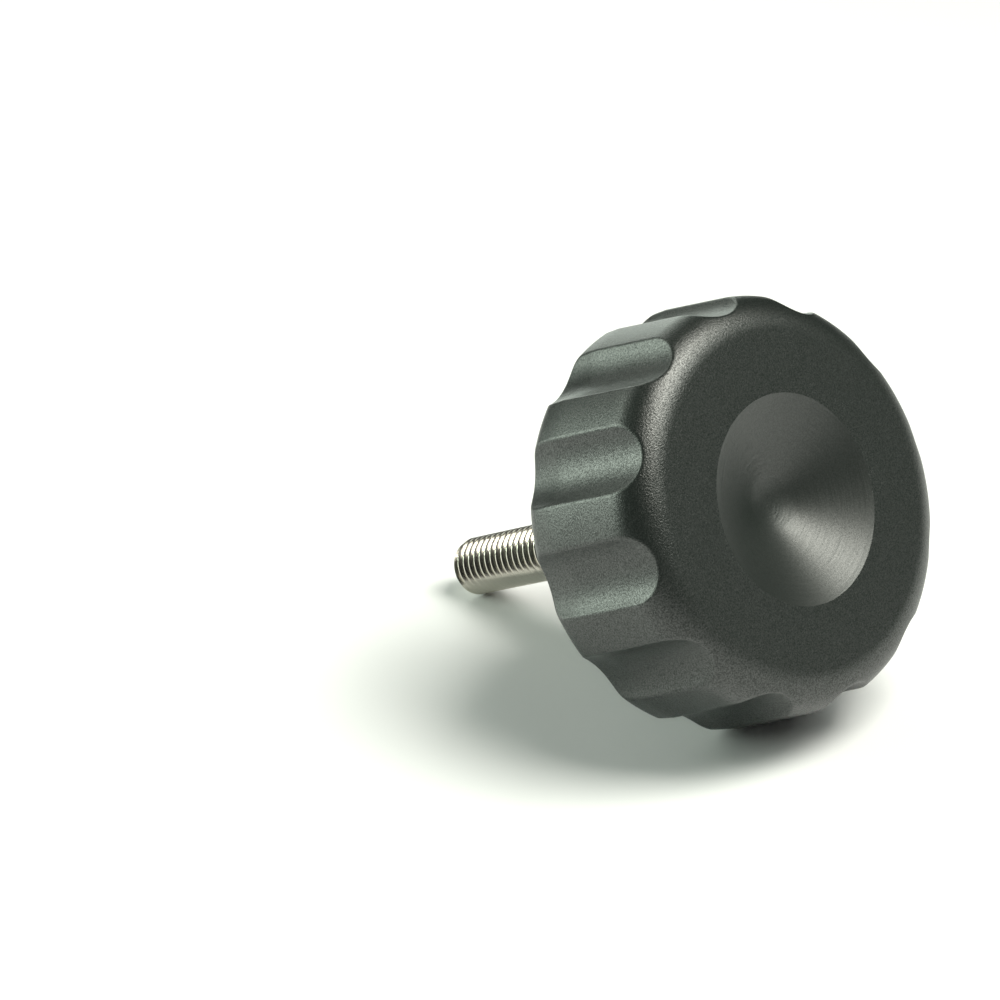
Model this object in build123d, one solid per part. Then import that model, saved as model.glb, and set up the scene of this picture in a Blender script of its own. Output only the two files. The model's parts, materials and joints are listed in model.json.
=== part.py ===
from build123d import *
from math import cos, degrees, radians, sin, tan
import os

# A fluted hand knob moulded over a stainless M10 stud.
# The knob is drawn about its own axis, with the face at z = 0 and the stud
# pointing down, and is then laid on its rim and its stud tip.

# Grip, mm and degrees
knob_diameter = 68.0
skirt_height = 26.6
parting_depth = 20.0
grip_draft = 3.0
shoulder_radius = 6.6
shoulder_steps = 8
rim_radius = 4.1
rim_steps = 5

# Flutes round the grip
flute_count = 12
flute_depth = 2.4
flute_radius = 8.0

# Dish in the face: a shallow cone with a rounded bottom
dish_radius = 16.8
dish_slope = 26.0
dish_bottom_radius = 12.0

# Hollow underside
mouth_radius = 27.8
mouth_bevel = 0.4
inner_draft = 2.0
roof_thickness = 4.8
corner_bevel = 1.6

# Hub that carries the stud
hub_radius = 13.85
hub_length = 42.2
hub_draft = 1.0
hub_bevel = 0.4
seat_relief = 0.5

# Stud: its free end at the thread's outside diameter, and its anchored end,
# which is as thick as the blank that the thread is rolled on
stud_diameter = 10.0
stud_length = 40.0
stud_tip_chamfer = 1.0
anchor_diameter = 9.0
anchor_length = 26.0
anchor_groove_depth = 0.6
anchor_groove_width = 2.5
anchor_groove_places = (3.0, 9.0)

# Resting tilt of the axis above level: a first guess, and how often it is corrected
tilt_guess = 26.0
tilt_rounds = 4

knob_radius = knob_diameter / 2
stud_radius = stud_diameter / 2
anchor_radius = anchor_diameter / 2
stud_tip_depth = hub_length + stud_length


def turned(outline):
    """A solid turned about the knob's axis from a closed outline of radius and height."""
    return revolve(outline, axis=Axis.Z)


def narrowing(depth, angle):
    """How much a drafted wall moves over a depth."""
    return depth * tan(radians(angle))


def round_points(before, corner, after, radius, steps):
    """Points on the round at a corner. A few short chords keep the moulding's facets few."""
    bend = FilletPolyline(before, corner, after, radius=radius)
    arc = bend.edges().filter_by(GeomType.CIRCLE)[0]
    return [arc @ (step / steps) for step in range(steps + 1)]


def moulding_outline():
    """Half section of the moulding before its flutes, from the dish round to the hub."""
    slope = radians(dish_slope)
    dish_tangent_radius = dish_bottom_radius * sin(slope)
    dish_tangent_height = -(dish_radius - dish_tangent_radius) * tan(slope)
    dish_centre_height = dish_tangent_height + dish_bottom_radius * cos(slope)
    dish_edge = (dish_radius, 0)
    face_corner = (knob_radius - narrowing(parting_depth, grip_draft), 0)
    parting = (knob_radius, -parting_depth)
    rim_corner = (knob_radius - narrowing(skirt_height - parting_depth, grip_draft), -skirt_height)
    mouth = (mouth_radius + mouth_bevel, -skirt_height)
    cavity_corner = mouth_radius - narrowing(skirt_height - roof_thickness, inner_draft)
    hub_root = hub_radius + narrowing(hub_length - roof_thickness, hub_draft)
    shoulder = round_points(dish_edge, face_corner, parting, shoulder_radius, shoulder_steps)
    rim = round_points(parting, rim_corner, mouth, rim_radius, rim_steps)
    with BuildSketch(Plane.XZ) as outline:
        with BuildLine():
            CenterArc((0, dish_centre_height), dish_bottom_radius, -90, dish_slope)
            Line((dish_tangent_radius, dish_tangent_height), dish_edge)
            Polyline(
                dish_edge,
                *shoulder,
                parting,
                *rim,
                mouth,
                (mouth_radius, mouth_bevel - skirt_height),
                (cavity_corner, -roof_thickness - corner_bevel),
                (cavity_corner - corner_bevel, -roof_thickness),
                (hub_root + corner_bevel, -roof_thickness),
                (hub_root, -roof_thickness - corner_bevel),
                (hub_radius, hub_bevel - hub_length),
                (hub_radius - hub_bevel, -hub_length),
                (stud_radius + seat_relief, -hub_length),
                (stud_radius, seat_relief - hub_length),
                (0, seat_relief - hub_length),
            )
            Line((0, seat_relief - hub_length), (0, dish_centre_height - dish_bottom_radius))
        make_face()
    return outline.sketch


def flute_cutter():
    """One scallop: two round bars that lean with the draft and meet at the parting plane."""
    bar_centre = knob_radius - flute_depth + flute_radius
    upper_length = parting_depth + flute_radius
    lower_length = skirt_height - parting_depth + flute_radius
    at_parting = Pos(bar_centre, 0, -parting_depth)
    upper = Cylinder(flute_radius, upper_length, align=(Align.CENTER, Align.CENTER, Align.MIN))
    lower = Cylinder(flute_radius, lower_length, align=(Align.CENTER, Align.CENTER, Align.MAX))
    return at_parting * (Rot(Y=-grip_draft) * upper + Rot(Y=grip_draft) * lower)


def make_stud():
    """The stud: a round bar, with a chamfered tip and an anchored end grooved to lock in the hub."""
    top = anchor_length - hub_length
    groove_floor = anchor_radius - anchor_groove_depth
    points = [(0, top), (anchor_radius, top)]
    for place in anchor_groove_places:
        groove_top = top - place
        groove_bottom = groove_top - anchor_groove_width
        points += [
            (anchor_radius, groove_top),
            (groove_floor, groove_top),
            (groove_floor, groove_bottom),
            (anchor_radius, groove_bottom),
        ]
    points += [
        (anchor_radius, -hub_length),
        (stud_radius, -hub_length),
        (stud_radius, stud_tip_chamfer - stud_tip_depth),
        (stud_radius - stud_tip_chamfer, -stud_tip_depth),
        (0, -stud_tip_depth),
    ]
    with BuildSketch(Plane.XZ) as outline:
        with BuildLine():
            Polyline(*points, close=True)
        make_face()
    return turned(outline.sketch)


def make_body(stud):
    """The moulding: turned form, less its flutes and the space that the stud fills."""
    body = turned(moulding_outline())
    for place in range(flute_count):
        body -= Rot(Z=360 / flute_count * place) * flute_cutter()
    return body - stud


def lowest(solid, tilt):
    """Lowest point of a solid when its axis leans by the tilt above level."""
    return (Rot(X=90 - tilt) * solid).bounding_box().min.Z


def resting_tilt(body, stud):
    """Tilt at which the rim, spanning one flute, and the stud tip touch the floor together."""
    reach = stud_tip_depth - skirt_height
    tilt = tilt_guess
    for _ in range(tilt_rounds):
        gap = lowest(stud, tilt) - lowest(body, tilt)
        tilt += degrees(gap / reach)
    return tilt


def laid_down(body, stud):
    """The two solids lying at rest, the face towards -Y and up, centred over the origin."""
    tilt = resting_tilt(body, stud)
    leaning = [Rot(X=90 - tilt) * solid for solid in (body, stud)]
    box = leaning[0].bounding_box().add(leaning[1].bounding_box())
    middle = box.center()
    return [Pos(-middle.X, -middle.Y, -box.min.Z) * solid for solid in leaning]


stud = make_stud()
body = make_body(stud)
knob_body, threaded_stud = laid_down(body, stud)

os.makedirs("parts", exist_ok=True)
export_step(knob_body, "parts/knob_body.step")
export_step(threaded_stud, "parts/threaded_stud.step")
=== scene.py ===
import json
from math import cos, degrees, pi, radians, sin, sqrt, tan

import bmesh
import bpy
from mathutils import Matrix, Vector


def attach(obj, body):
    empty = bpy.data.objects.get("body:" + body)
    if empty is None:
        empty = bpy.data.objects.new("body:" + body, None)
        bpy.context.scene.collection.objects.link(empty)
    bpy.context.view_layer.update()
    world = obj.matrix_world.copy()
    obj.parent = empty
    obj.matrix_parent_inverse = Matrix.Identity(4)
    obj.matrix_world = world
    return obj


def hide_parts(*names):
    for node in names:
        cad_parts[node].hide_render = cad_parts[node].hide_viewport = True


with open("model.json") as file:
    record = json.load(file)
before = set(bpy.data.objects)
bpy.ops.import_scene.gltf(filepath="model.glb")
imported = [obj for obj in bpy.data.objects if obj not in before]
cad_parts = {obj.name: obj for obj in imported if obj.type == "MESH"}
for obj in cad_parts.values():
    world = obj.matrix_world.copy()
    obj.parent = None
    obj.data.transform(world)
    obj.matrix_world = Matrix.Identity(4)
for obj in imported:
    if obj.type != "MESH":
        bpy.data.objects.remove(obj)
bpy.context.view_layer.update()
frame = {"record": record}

bl_info = {
    "name": "Fluted hand knob",
    "version": (1, 0, 0),
    "blender": (4, 5, 0),
    "location": "View3D > Sidebar > Knob",
    "description": "Builds a fluted hand knob with a threaded stud, lying on a pale table",
    "category": "Object",
}

MM = 0.001
mounts = {mount["name"]: mount for mount in frame["record"]["mounts"]}

# Steps round a full turn, and how strongly the grip's points gather at the flutes' edges
BODY_STEPS = 600
THREAD_STEPS = 60
GATHER = 0.6

# Edges that bend more than this are shaded sharp
SHARP_ANGLE = radians(35)

# Distances within which points are merged, or lie on a cut
BODY_WELD = 0.001 * MM
THREAD_WELD = 0.005 * MM
CUT_SLACK = 0.0001 * MM

# Radius of the dish's edge at the face
DISH_EDGE = 0.3 * MM

# Places in the body's list of materials, and the rise of a normal from which a face looks up
DISH = 1
UNDERSIDE = 2
LOOKS_UP = 0.5

# One turn of the thread's profile, in pitches: depth below the crest, and place along the turn
THREAD_PROFILE = (
    (0, 0),
    (0, 1 / 16),
    (0.04, 0.11),
    (0.6134, 0.435),
    (0.6134, 0.565),
    (0.04, 0.89),
    (0, 15 / 16),
    (0, 1),
)

# Spare turns of thread, cut away again at both ends, and the stud's plain stretch under the hub
SPARE_TURNS = 2
PLAIN_COLLAR = 1.5 * MM

# How far points past the tip may draw in, in widths of the tip's chamfer
SPARE_TIP = 1.4

# Width of one grain in cells of the noise, and the values that the noise mostly keeps between
GRAIN_IN_NOISE = 0.75
NOISE_LOW = 0.35
NOISE_HIGH = 0.65

# Share of the outside's sparkle that the dish and the underside have
SMOOTH_SPARKLE = 1 / 3

# Camera: sensor in mm, and the nearest and farthest that it sees, in metres
SENSOR_WIDTH = 36
NEAREST = 0.01
FARTHEST = 50

# Half the table's side in metres, and the point that the lamps face
TABLE_REACH = 3
LAMP_AIM = Vector((0, 0, 0.03))

# Lamps: name, setting that holds the power, direction from the knob, size in metres, colour
LAMPS = (
    ("overhead_box", "overhead_power", (0.22, -0.39, 0.89), (0.6, 0.5), (1.0, 1.0, 0.9)),
    ("side_panel", "side_power", (0.38, -0.58, 0.72), (0.5, 0.5), (0.95, 1.0, 0.9)),
    ("window_panel", "window_power", (-0.60, 0.72, 0.30), (0.7, 0.5), (0.86, 1.0, 0.86)),
    ("far_panel", "far_power", (0.60, 0.78, 0.17), (0.4, 0.4), (0.9, 1.0, 0.9)),
    ("back_panel", "back_power", (0.10, 0.80, 0.60), (0.9, 0.4), (0.95, 1.0, 0.9)),
)


class KnobGrip(bpy.types.PropertyGroup):
    """Outside of the moulding, measured from its face along its own axis."""

    diameter: bpy.props.FloatProperty(
        name="Diameter", description="Grip across its lands at the parting plane",
        default=68 * MM, unit="LENGTH")
    skirt_height: bpy.props.FloatProperty(
        name="Skirt height", description="Face to rim", default=26.6 * MM, unit="LENGTH")
    parting_depth: bpy.props.FloatProperty(
        name="Parting depth", description="Face to the parting plane", default=20 * MM, unit="LENGTH")
    draft: bpy.props.FloatProperty(
        name="Draft", description="Lean of the grip either side of the parting plane",
        default=radians(3), subtype="ANGLE")
    shoulder_radius: bpy.props.FloatProperty(
        name="Shoulder radius", description="Round between face and grip",
        default=6.6 * MM, unit="LENGTH")
    rim_radius: bpy.props.FloatProperty(
        name="Rim radius", description="Round between grip and rim", default=4.1 * MM, unit="LENGTH")
    flutes: bpy.props.IntProperty(name="Flutes", description="Scallops round the grip", default=12)
    flute_depth: bpy.props.FloatProperty(
        name="Flute depth", description="Depth below the lands", default=2.4 * MM, unit="LENGTH")
    flute_radius: bpy.props.FloatProperty(
        name="Flute radius", description="Radius of a scallop", default=8 * MM, unit="LENGTH")
    flute_edge: bpy.props.FloatProperty(
        name="Flute edge", description="How far a flute's edge is rounded off",
        default=0.3 * MM, unit="LENGTH")


class KnobDish(bpy.types.PropertyGroup):
    """Dish in the face: a shallow cone with a rounded bottom."""

    radius: bpy.props.FloatProperty(
        name="Radius", description="Dish at the face", default=16.8 * MM, unit="LENGTH")
    slope: bpy.props.FloatProperty(
        name="Slope", description="Slope of the cone", default=radians(26), subtype="ANGLE")
    bottom_radius: bpy.props.FloatProperty(
        name="Bottom radius", description="Round at the bottom", default=12 * MM, unit="LENGTH")


class KnobUnderside(bpy.types.PropertyGroup):
    """Hollow skirt and hub."""

    mouth_radius: bpy.props.FloatProperty(
        name="Mouth radius", description="Hollow at the rim", default=27.8 * MM, unit="LENGTH")
    roof: bpy.props.FloatProperty(
        name="Roof", description="Face to the roof of the hollow", default=4.8 * MM, unit="LENGTH")
    draft: bpy.props.FloatProperty(
        name="Inner draft", description="Lean of the hollow's wall", default=radians(2), subtype="ANGLE")
    corner: bpy.props.FloatProperty(
        name="Corner", description="Radius in the hollow's corners", default=2.5 * MM, unit="LENGTH")
    edge: bpy.props.FloatProperty(
        name="Edge", description="Radius on the rim's and the hub's edges",
        default=0.6 * MM, unit="LENGTH")
    hub_radius: bpy.props.FloatProperty(
        name="Hub radius", description="Hub at its end", default=13.85 * MM, unit="LENGTH")
    hub_length: bpy.props.FloatProperty(
        name="Hub length", description="Face to the hub's end", default=42.2 * MM, unit="LENGTH")
    hub_draft: bpy.props.FloatProperty(
        name="Hub draft", description="Lean of the hub's side", default=radians(1), subtype="ANGLE")
    seat_relief: bpy.props.FloatProperty(
        name="Seat relief", description="Relief round the stud in the hub's end",
        default=0.5 * MM, unit="LENGTH")


class KnobStud(bpy.types.PropertyGroup):
    """Stainless stud with a coarse metric thread."""

    diameter: bpy.props.FloatProperty(
        name="Diameter", description="Outside of the thread", default=9.96 * MM, unit="LENGTH")
    pitch: bpy.props.FloatProperty(
        name="Pitch", description="One turn of the thread", default=1.5 * MM, unit="LENGTH")
    length: bpy.props.FloatProperty(
        name="Length", description="Free length past the hub", default=40 * MM, unit="LENGTH")
    anchor_diameter: bpy.props.FloatProperty(
        name="Anchor diameter", description="Part held in the hub", default=9 * MM, unit="LENGTH")
    anchor: bpy.props.FloatProperty(
        name="Anchor", description="Length held in the hub", default=26 * MM, unit="LENGTH")
    tip: bpy.props.FloatProperty(
        name="Tip", description="Chamfer at the tip", default=1 * MM, unit="LENGTH")


class KnobFinish(bpy.types.PropertyGroup):
    """Surface of the plastic and of the steel."""

    plastic_color: bpy.props.FloatVectorProperty(
        name="Plastic colour", description="Black of the plastic",
        default=(0.012, 0.016, 0.014), subtype="COLOR")
    plastic_roughness: bpy.props.FloatProperty(
        name="Plastic roughness", description="Roughness under the grain", default=0.34)
    dish_roughness: bpy.props.FloatProperty(
        name="Dish roughness", description="Roughness of the turned dish", default=0.4)
    plastic_shine: bpy.props.FloatProperty(
        name="Plastic shine", description="Specular level of the glass-filled plastic", default=0.75)
    grain_size: bpy.props.FloatProperty(
        name="Grain size", description="Width of one grain of the spark-eroded mould",
        default=0.19 * MM, unit="LENGTH")
    grain_height: bpy.props.FloatProperty(
        name="Grain height", description="Height of the grain on the outside",
        default=0.06 * MM, unit="LENGTH")
    sparkle: bpy.props.FloatProperty(
        name="Sparkle", description="How much the glass fibres' shine varies from grain to grain",
        default=0.4)
    dish_grain_height: bpy.props.FloatProperty(
        name="Dish grain height", description="Height of the grain in the dish",
        default=0.012 * MM, unit="LENGTH")
    ring_width: bpy.props.FloatProperty(
        name="Ring width", description="Distance between turned rings in the dish",
        default=0.7 * MM, unit="LENGTH")
    ring_height: bpy.props.FloatProperty(
        name="Ring height", description="Height of the turned rings",
        default=0.06 * MM, unit="LENGTH")
    steel_color: bpy.props.FloatVectorProperty(
        name="Steel colour", description="Stainless steel",
        default=(0.64, 0.61, 0.54), subtype="COLOR")
    steel_roughness: bpy.props.FloatProperty(
        name="Steel roughness", description="Roughness of the rolled thread", default=0.22)


class KnobStudio(bpy.types.PropertyGroup):
    """Camera, light and table."""

    camera_place: bpy.props.FloatVectorProperty(
        name="Camera", description="Where the camera stands",
        default=(-0.34529, -0.32377, 0.24969), subtype="TRANSLATION")
    camera_target: bpy.props.FloatVectorProperty(
        name="Target", description="Point in the middle of the picture",
        default=(-0.02209, 0.01204, 0.03396), subtype="TRANSLATION")
    camera_roll: bpy.props.FloatProperty(
        name="Roll", description="Turn of the camera about its view",
        default=radians(1.34), subtype="ANGLE")
    lens: bpy.props.FloatProperty(
        name="Lens", description="Focal length in mm on a 36 mm sensor", default=115.08)
    overhead_power: bpy.props.FloatProperty(
        name="Overhead", description="Power of the box above, in watts", default=11)
    side_power: bpy.props.FloatProperty(
        name="Side", description="Power of the panel in front on the right, in watts", default=3.5)
    window_power: bpy.props.FloatProperty(
        name="Window", description="Power of the panel behind on the left, in watts", default=7.5)
    far_power: bpy.props.FloatProperty(
        name="Far", description="Power of the panel behind on the right, in watts", default=1.2)
    back_power: bpy.props.FloatProperty(
        name="Back", description="Power of the panel high behind the knob, in watts", default=1.8)
    table_color: bpy.props.FloatVectorProperty(
        name="Table colour", description="White of the table",
        default=(0.92, 0.92, 0.94), subtype="COLOR")
    surround: bpy.props.FloatProperty(
        name="Surround", description="Brightness of the room", default=0.02)


SETTINGS = {
    "knob_grip": KnobGrip,
    "knob_dish": KnobDish,
    "knob_underside": KnobUnderside,
    "knob_stud": KnobStud,
    "knob_finish": KnobFinish,
    "knob_studio": KnobStudio,
}


def knob_frame():
    """Matrix from the knob's own frame (face at height 0, stud downwards) to the part's frame."""
    scene = bpy.context.scene
    stud_mount = mounts["stud"]
    down = Vector(stud_mount["axis"]).normalized()
    straight_length = stud_mount["dims"]["length_mm"] * MM
    middle_depth = scene.knob_underside.hub_length + straight_length / 2
    face_centre = Vector(stud_mount["pos_m"]) - down * middle_depth
    up = -down
    right = Vector((1, 0, 0))
    turn = Matrix((right, up.cross(right), up)).transposed()
    return Matrix.Translation(face_centre) @ turn.to_4x4()


def arc(centre, radius, start, end, steps):
    """Points of an arc in the half section, angles in degrees from level outwards."""
    points = []
    for step in range(steps + 1):
        angle = radians(start + (end - start) * step / steps)
        points.append((centre[0] + radius * cos(angle), centre[1] + radius * sin(angle)))
    return points


def along(start, end, steps):
    """Points on a straight stretch of the half section, without its two ends."""
    shares = [step / steps for step in range(1, steps)]
    return [(start[0] + (end[0] - start[0]) * s, start[1] + (end[1] - start[1]) * s) for s in shares]


def rounded(before, corner, after, radius, steps):
    """Points of the arc that rounds a corner of the half section."""
    corner = Vector(corner)
    towards_before = (Vector(before) - corner).normalized()
    towards_after = (Vector(after) - corner).normalized()
    half = towards_before.angle(towards_after) / 2
    centre = corner + (towards_before + towards_after).normalized() * radius / sin(half)
    first = corner + towards_before * radius / tan(half) - centre
    last = corner + towards_after * radius / tan(half) - centre
    turn = first.angle_signed(last)
    points = []
    for step in range(steps + 1):
        spoke = first.copy()
        spoke.rotate(Matrix.Rotation(-turn * step / steps, 2))
        points.append(tuple(centre + spoke))
    return points


def turned(mesh, points, steps):
    """Turns a half section about the knob's axis and closes it."""
    ring = [mesh.verts.new((radius, 0, height)) for radius, height in points]
    edges = [mesh.edges.new(pair) for pair in zip(ring, ring[1:])]
    bmesh.ops.spin(
        mesh, geom=ring + edges, cent=(0, 0, 0), axis=(0, 0, 1), angle=2 * pi,
        steps=steps, use_merge=True, use_duplicate=False)
    bmesh.ops.remove_doubles(mesh, verts=mesh.verts, dist=BODY_WELD)


def finished(mesh, name, materials):
    """Turns a bmesh in the knob's own frame into a finished, shaded object in the part's frame."""
    bmesh.ops.recalc_face_normals(mesh, faces=mesh.faces)
    bmesh.ops.transform(mesh, matrix=knob_frame(), verts=mesh.verts)
    data = bpy.data.meshes.new(name)
    mesh.to_mesh(data)
    mesh.free()
    for polygon in data.polygons:
        polygon.use_smooth = True
    data.set_sharp_from_angle(angle=SHARP_ANGLE)
    for material in materials:
        data.materials.append(material)
    piece = bpy.data.objects.new(name, data)
    bpy.context.scene.collection.objects.link(piece)
    return piece


def smooth_least(a, b, width):
    """The smaller of two lengths, rounded off where they cross."""
    overlap = max(width - abs(a - b), 0) / width
    return min(a, b) - overlap * overlap * width / 4


def flute_floor(grip, angle, height):
    """Distance from the axis to a flute's floor at an angle from its middle."""
    lean = abs(height + grip.parting_depth) * tan(grip.draft)
    bar_centre = grip.diameter / 2 - grip.flute_depth + grip.flute_radius - lean
    beside = bar_centre * sin(angle)
    if abs(beside) >= grip.flute_radius:
        return None
    return bar_centre * cos(angle) - sqrt(grip.flute_radius**2 - beside**2)


def cut_flutes(mesh, grip, outer_radius):
    """Draws the grip's points in to the flutes, with more points near the flutes' edges."""
    pitch = 2 * pi / grip.flutes
    for vert in mesh.verts:
        radius = vert.co.xy.length
        if radius < outer_radius:
            continue
        angle = vert.co.xy.angle_signed(Vector((0, -1)))
        share = angle / pitch
        place = round(share)
        offset = share - place
        offset += GATHER * sin(4 * pi * offset) / (4 * pi)
        floor = flute_floor(grip, offset * pitch, vert.co.z)
        if floor is not None:
            radius = smooth_least(radius, floor, grip.flute_edge)
        around = (place + offset) * pitch
        vert.co.x = radius * sin(around)
        vert.co.y = -radius * cos(around)


def new_material(name, color, roughness, metallic=0.0):
    """A material with one shader at plain values; gives the material, its node tree and its shader."""
    material = bpy.data.materials.new(name)
    material.use_nodes = True
    tree = material.node_tree
    shader = tree.nodes["Principled BSDF"]
    shader.inputs["Base Color"].default_value = (*color, 1)
    shader.inputs["Roughness"].default_value = roughness
    shader.inputs["Metallic"].default_value = metallic
    return material, tree, shader


def grain_group():
    """Node group: the pebbled grain of a spark-eroded mould, as a normal and as a value."""
    group = bpy.data.node_groups.new("spark_grain", "ShaderNodeTree")
    group.interface.new_socket("Size", in_out="INPUT", socket_type="NodeSocketFloat")
    group.interface.new_socket("Height", in_out="INPUT", socket_type="NodeSocketFloat")
    group.interface.new_socket("Normal", in_out="OUTPUT", socket_type="NodeSocketVector")
    group.interface.new_socket("Grain", in_out="OUTPUT", socket_type="NodeSocketFloat")
    nodes = group.nodes
    links = group.links
    entry = nodes.new("NodeGroupInput")
    leave = nodes.new("NodeGroupOutput")
    place = nodes.new("ShaderNodeTexCoord")
    mapping = nodes.new("ShaderNodeMapping")
    links.new(place.outputs["Object"], mapping.inputs["Vector"])
    fineness = nodes.new("ShaderNodeMath")
    fineness.operation = "DIVIDE"
    fineness.inputs[0].default_value = GRAIN_IN_NOISE
    links.new(entry.outputs["Size"], fineness.inputs[1])
    pebbles = nodes.new("ShaderNodeTexNoise")
    pebbles.inputs["Detail"].default_value = 2.0
    pebbles.inputs["Roughness"].default_value = 0.6
    links.new(mapping.outputs["Vector"], pebbles.inputs["Vector"])
    links.new(fineness.outputs["Value"], pebbles.inputs["Scale"])
    bump = nodes.new("ShaderNodeBump")
    bump.inputs["Strength"].default_value = 1.0
    links.new(entry.outputs["Height"], bump.inputs["Distance"])
    links.new(pebbles.outputs["Fac"], bump.inputs["Height"])
    links.new(bump.outputs["Normal"], leave.inputs["Normal"])
    links.new(pebbles.outputs["Fac"], leave.inputs["Grain"])
    return group


def turned_group():
    """Node group: fine rings left by turning the dish's mould, as a height."""
    group = bpy.data.node_groups.new("turned_rings", "ShaderNodeTree")
    group.interface.new_socket("Width", in_out="INPUT", socket_type="NodeSocketFloat")
    group.interface.new_socket("Rings", in_out="OUTPUT", socket_type="NodeSocketFloat")
    nodes = group.nodes
    links = group.links
    entry = nodes.new("NodeGroupInput")
    leave = nodes.new("NodeGroupOutput")
    place = nodes.new("ShaderNodeTexCoord")
    own_frame = nodes.new("ShaderNodeMapping")
    own_frame.vector_type = "TEXTURE"
    frame_place, frame_turn, _ = knob_frame().decompose()
    own_frame.inputs["Location"].default_value = frame_place
    own_frame.inputs["Rotation"].default_value = frame_turn.to_euler()
    links.new(place.outputs["Object"], own_frame.inputs["Vector"])
    across = nodes.new("ShaderNodeVectorMath")
    across.operation = "MULTIPLY"
    across.inputs[1].default_value = (1, 1, 0)
    links.new(own_frame.outputs["Vector"], across.inputs[0])
    radius = nodes.new("ShaderNodeVectorMath")
    radius.operation = "LENGTH"
    links.new(across.outputs["Vector"], radius.inputs[0])
    around = nodes.new("ShaderNodeVectorMath")
    around.operation = "NORMALIZE"
    links.new(across.outputs["Vector"], around.inputs[0])
    rings = nodes.new("ShaderNodeMath")
    rings.operation = "DIVIDE"
    links.new(radius.outputs["Value"], rings.inputs[0])
    links.new(entry.outputs["Width"], rings.inputs[1])
    apart = nodes.new("ShaderNodeSeparateXYZ")
    links.new(around.outputs["Vector"], apart.inputs["Vector"])
    joined = nodes.new("ShaderNodeCombineXYZ")
    links.new(apart.outputs["X"], joined.inputs["X"])
    links.new(apart.outputs["Y"], joined.inputs["Y"])
    links.new(rings.outputs["Value"], joined.inputs["Z"])
    streaks = nodes.new("ShaderNodeTexNoise")
    streaks.inputs["Scale"].default_value = 1.0
    streaks.inputs["Detail"].default_value = 2.0
    links.new(joined.outputs["Vector"], streaks.inputs["Vector"])
    links.new(streaks.outputs["Fac"], leave.inputs["Rings"])
    return group


def plastic(name, group, grain_height, roughness, sparkle):
    """Black plastic with a grain and a sparkle of its own."""
    finish = bpy.context.scene.knob_finish
    material, tree, shader = new_material(name, finish.plastic_color, roughness)
    grain = tree.nodes.new("ShaderNodeGroup")
    grain.node_tree = group
    grain.inputs["Size"].default_value = finish.grain_size
    grain.inputs["Height"].default_value = grain_height
    tree.links.new(grain.outputs["Normal"], shader.inputs["Normal"])
    shine = tree.nodes.new("ShaderNodeMapRange")
    shine.inputs["From Min"].default_value = NOISE_LOW
    shine.inputs["From Max"].default_value = NOISE_HIGH
    shine.inputs["To Min"].default_value = finish.plastic_shine - sparkle
    shine.inputs["To Max"].default_value = finish.plastic_shine + sparkle
    tree.links.new(grain.outputs["Grain"], shine.inputs["Value"])
    shader.inputs["Specular IOR Level"].default_value = finish.plastic_shine
    tree.links.new(shine.outputs["Result"], shader.inputs["Specular IOR Level"])
    return material


def add_rings(material, group, width, height):
    """Turned rings over a plastic's grain."""
    nodes = material.node_tree.nodes
    links = material.node_tree.links
    rings = nodes.new("ShaderNodeGroup")
    rings.node_tree = group
    rings.inputs["Width"].default_value = width
    bump = nodes.new("ShaderNodeBump")
    bump.inputs["Strength"].default_value = 1.0
    bump.inputs["Distance"].default_value = height
    links.new(rings.outputs["Rings"], bump.inputs["Height"])
    normal = nodes["Principled BSDF"].inputs["Normal"]
    links.new(normal.links[0].from_socket, bump.inputs["Normal"])
    links.new(bump.outputs["Normal"], normal)


def body_materials():
    """The plastic as it is on the outside, in the dish and underneath."""
    finish = bpy.context.scene.knob_finish
    group = grain_group()
    sparkle = finish.sparkle
    smooth_sparkle = sparkle * SMOOTH_SPARKLE
    smooth_grain = finish.dish_grain_height
    roughness = finish.plastic_roughness
    outside = plastic("plastic_outside", group, finish.grain_height, roughness, sparkle)
    dish = plastic("plastic_dish", group, smooth_grain, finish.dish_roughness, smooth_sparkle)
    add_rings(dish, turned_group(), finish.ring_width, finish.ring_height)
    underside = plastic("plastic_underside", group, smooth_grain, roughness, smooth_sparkle)
    return [outside, dish, underside]


def stud_steel():
    """Bright stainless steel."""
    finish = bpy.context.scene.knob_finish
    material, _, _ = new_material(
        "stud_steel", finish.steel_color, finish.steel_roughness, metallic=1.0)
    return material


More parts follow.
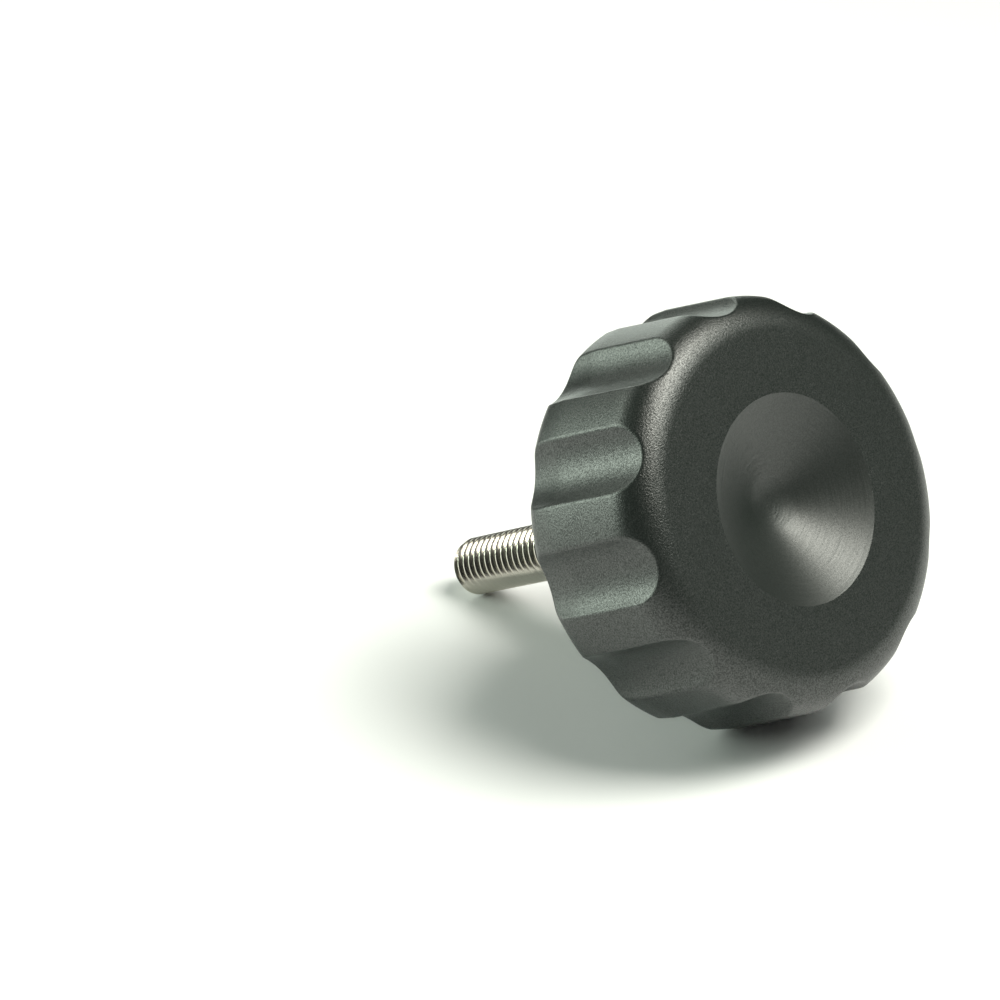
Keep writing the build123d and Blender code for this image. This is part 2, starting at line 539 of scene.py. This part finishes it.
class KNOB_OT_moulded_body(bpy.types.Operator):
    """Build the moulded knob: flutes, dish, hollow skirt and hub"""

    bl_idname = "knob.moulded_body"
    bl_label = "Moulded body"

    def execute(self, context):
        grip = context.scene.knob_grip
        dish = context.scene.knob_dish
        under = context.scene.knob_underside
        stud = context.scene.knob_stud
        outer = grip.diameter / 2
        lean = tan(grip.draft)
        face_corner = (outer - grip.parting_depth * lean, 0)
        parting = (outer, -grip.parting_depth)
        rim_corner = (outer - (grip.skirt_height - grip.parting_depth) * lean, -grip.skirt_height)
        mouth = (under.mouth_radius, -grip.skirt_height)
        roof_corner = (
            under.mouth_radius - (grip.skirt_height - under.roof) * tan(under.draft), -under.roof)
        hub_root = (
            under.hub_radius + (under.hub_length - under.roof) * tan(under.hub_draft), -under.roof)
        hub_end = (under.hub_radius, -under.hub_length)
        relief_edge = (stud.diameter / 2 + under.seat_relief, -under.hub_length)
        relief_floor = (stud.diameter / 2, under.seat_relief - under.hub_length)
        bore_edge = (stud.anchor_diameter / 2, under.seat_relief - under.hub_length)
        bore_top = (stud.anchor_diameter / 2, stud.anchor - under.hub_length)
        tangent_radius = dish.bottom_radius * sin(dish.slope)
        tangent_height = -(dish.radius - tangent_radius) * tan(dish.slope)
        bottom_centre = (0, tangent_height + dish.bottom_radius * cos(dish.slope))
        dish_edge = (dish.radius, 0)
        cone_start = (tangent_radius, tangent_height)
        face_inner = dish.radius + DISH_EDGE
        face_outer = face_corner[0] - grip.shoulder_radius

        points = arc(bottom_centre, dish.bottom_radius, -90, degrees(dish.slope) - 90, steps=10)
        points += along(cone_start, dish_edge, steps=8)
        points += rounded(cone_start, dish_edge, face_corner, DISH_EDGE, steps=3)
        points += along((face_inner, 0), (face_outer, 0), steps=5)
        points += rounded(dish_edge, face_corner, parting, grip.shoulder_radius, steps=36)
        points += along(points[-1], parting, steps=10)
        points.append(parting)
        corners = (
            (4, rounded(parting, rim_corner, mouth, grip.rim_radius, steps=18)),
            (2, rounded(rim_corner, mouth, roof_corner, under.edge, steps=3)),
            (3, rounded(mouth, roof_corner, hub_root, under.corner, steps=5)),
            (2, rounded(roof_corner, hub_root, hub_end, under.corner, steps=5)),
            (4, rounded(hub_root, hub_end, relief_edge, under.edge, steps=4)),
        )
        for steps_before, corner in corners:
            points += along(points[-1], corner[0], steps=steps_before)
            points += corner
        points += [relief_edge, relief_floor, bore_edge, bore_top, (0, bore_top[1])]

        mesh = bmesh.new()
        turned(mesh, points, BODY_STEPS)
        cut_flutes(mesh, grip, face_outer)
        bmesh.ops.recalc_face_normals(mesh, faces=mesh.faces)
        below_dish = -2 * under.roof
        under_roof = -0.9 * under.roof
        for face in mesh.faces:
            centre = face.calc_center_median()
            radius = centre.xy.length
            if radius < dish.radius and centre.z > below_dish and face.normal.z > LOOKS_UP:
                face.material_index = DISH
            elif radius < under.mouth_radius and centre.z < under_roof and face.normal.z < LOOKS_UP:
                face.material_index = UNDERSIDE
        body = finished(mesh, "moulded_body", body_materials())
        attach(body, "root")
        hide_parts("knob_body")
        return {"FINISHED"}


class KNOB_OT_threaded_stud(bpy.types.Operator):
    """Build the stud with its thread"""

    bl_idname = "knob.threaded_stud"
    bl_label = "Threaded stud"

    def execute(self, context):
        stud = context.scene.knob_stud
        under = context.scene.knob_underside
        mesh = bmesh.new()
        outer = stud.diameter / 2
        pitch = stud.pitch
        ring = [
            mesh.verts.new((outer - depth * pitch, 0, place * pitch))
            for depth, place in THREAD_PROFILE]
        edges = [mesh.edges.new(pair) for pair in zip(ring, ring[1:])]
        bmesh.ops.spin(
            mesh, geom=ring + edges, cent=(0, 0, 0), axis=(0, 0, 1),
            dvec=(0, 0, pitch / THREAD_STEPS), angle=2 * pi, steps=THREAD_STEPS,
            use_merge=False, use_duplicate=False)
        one_turn = mesh.verts[:] + mesh.edges[:] + mesh.faces[:]
        turns = int(stud.length / pitch) + SPARE_TURNS
        for turn in range(1, turns):
            copied = bmesh.ops.duplicate(mesh, geom=one_turn)
            moved = [item for item in copied["geom"] if isinstance(item, bmesh.types.BMVert)]
            bmesh.ops.translate(mesh, verts=moved, vec=(0, 0, turn * pitch))
        bmesh.ops.remove_doubles(mesh, verts=mesh.verts, dist=THREAD_WELD)
        low = -under.hub_length - stud.length
        bmesh.ops.translate(mesh, verts=mesh.verts, vec=(0, 0, low - pitch))
        collar = -under.hub_length - PLAIN_COLLAR
        for vert in mesh.verts:
            radius = vert.co.xy.length
            allowed = outer - stud.tip + (vert.co.z - low)
            share = min(max((vert.co.z - collar + pitch) / pitch, 0), 1)
            radius = radius + (outer - radius) * share
            radius = min(radius, max(allowed, outer - SPARE_TIP * stud.tip))
            vert.co.xy = vert.co.xy.normalized() * radius
        for height, normal in ((low, -1), (collar, 1)):
            bmesh.ops.bisect_plane(
                mesh, geom=mesh.verts[:] + mesh.edges[:] + mesh.faces[:], dist=CUT_SLACK,
                plane_co=(0, 0, height), plane_no=(0, 0, normal), clear_outer=True)
        open_edges = [edge for edge in mesh.edges if edge.is_boundary]
        upper = [edge for edge in open_edges if edge.verts[0].co.z > (low + collar) / 2]
        lower = [edge for edge in open_edges if edge not in upper]
        bmesh.ops.edgeloop_fill(mesh, edges=lower)
        anchor_radius = stud.anchor_diameter / 2
        for radius, height in (
            (outer, -under.hub_length),
            (anchor_radius, -under.hub_length),
            (anchor_radius, stud.anchor - under.hub_length),
        ):
            raised = bmesh.ops.extrude_edge_only(mesh, edges=upper)["geom"]
            for vert in [item for item in raised if isinstance(item, bmesh.types.BMVert)]:
                vert.co.xy = vert.co.xy.normalized() * radius
                vert.co.z = height
            upper = [
                item for item in raised if isinstance(item, bmesh.types.BMEdge) and item.is_boundary]
        bmesh.ops.edgeloop_fill(mesh, edges=upper)
        piece = finished(mesh, "stud_with_thread", [stud_steel()])
        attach(piece, "root")
        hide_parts("threaded_stud")
        return {"FINISHED"}


def soft_light(name, direction, size, power, color):
    """A rectangular soft light one metre from the knob, facing it."""
    data = bpy.data.lights.new(name, "AREA")
    data.shape = "RECTANGLE"
    data.size, data.size_y = size
    data.energy = power
    data.color = color
    lamp = bpy.data.objects.new(name, data)
    direction = Vector(direction).normalized()
    facing = (-direction).to_track_quat("-Z", "Y").to_matrix().to_4x4()
    lamp.matrix_world = Matrix.Translation(direction + LAMP_AIM) @ facing
    bpy.context.scene.collection.objects.link(lamp)


class KNOB_OT_stage(bpy.types.Operator):
    """Set the table, the light and the camera"""

    bl_idname = "knob.stage"
    bl_label = "Stage"

    def execute(self, context):
        scene = context.scene
        studio = scene.knob_studio
        mesh = bmesh.new()
        bmesh.ops.create_grid(mesh, x_segments=1, y_segments=1, size=TABLE_REACH)
        data = bpy.data.meshes.new("table")
        mesh.to_mesh(data)
        mesh.free()
        table = bpy.data.objects.new("table", data)
        scene.collection.objects.link(table)
        material, _, _ = new_material("table_white", studio.table_color, roughness=0.6)
        data.materials.append(material)

        camera_data = bpy.data.cameras.new("camera")
        camera_data.sensor_fit = "HORIZONTAL"
        camera_data.sensor_width = SENSOR_WIDTH
        camera_data.lens = studio.lens
        camera_data.clip_start = NEAREST
        camera_data.clip_end = FARTHEST
        camera = bpy.data.objects.new("camera", camera_data)
        place = Vector(studio.camera_place)
        view = (Vector(studio.camera_target) - place).normalized()
        level = view.to_track_quat("-Z", "Y").to_matrix()
        roll = Matrix.Rotation(-studio.camera_roll, 3, "Z")
        camera.matrix_world = Matrix.Translation(place) @ (level @ roll).to_4x4()
        scene.collection.objects.link(camera)
        scene.camera = camera

        for name, power, direction, size, color in LAMPS:
            soft_light(name, direction, size, getattr(studio, power), color)

        world = bpy.data.worlds.new("studio")
        world.use_nodes = True
        background = world.node_tree.nodes["Background"]
        background.inputs["Color"].default_value = (1, 1, 1, 1)
        background.inputs["Strength"].default_value = studio.surround
        scene.world = world
        scene.view_settings.view_transform = "Standard"
        return {"FINISHED"}


class KNOB_PT_panel(bpy.types.Panel):
    """Buttons for the knob's pieces"""

    bl_idname = "KNOB_PT_panel"
    bl_label = "Knob"
    bl_space_type = "VIEW_3D"
    bl_region_type = "UI"
    bl_category = "Knob"

    def draw(self, context):
        for operator in (KNOB_OT_moulded_body, KNOB_OT_threaded_stud, KNOB_OT_stage):
            self.layout.operator(operator.bl_idname)
        for name, group in SETTINGS.items():
            column = self.layout.column()
            for field in group.__annotations__:
                column.prop(getattr(context.scene, name), field)


CLASSES = (
    *SETTINGS.values(),
    KNOB_OT_moulded_body,
    KNOB_OT_threaded_stud,
    KNOB_OT_stage,
    KNOB_PT_panel,
)


def register():
    for item in CLASSES:
        bpy.utils.register_class(item)
    for name, group in SETTINGS.items():
        setattr(bpy.types.Scene, name, bpy.props.PointerProperty(type=group))


def unregister():
    for name in SETTINGS:
        delattr(bpy.types.Scene, name)
    for item in reversed(CLASSES):
        bpy.utils.unregister_class(item)


def main():
    register()
    bpy.ops.knob.stage()
    bpy.ops.knob.moulded_body()
    bpy.ops.knob.threaded_stud()


if __name__ == "__main__":
    main()
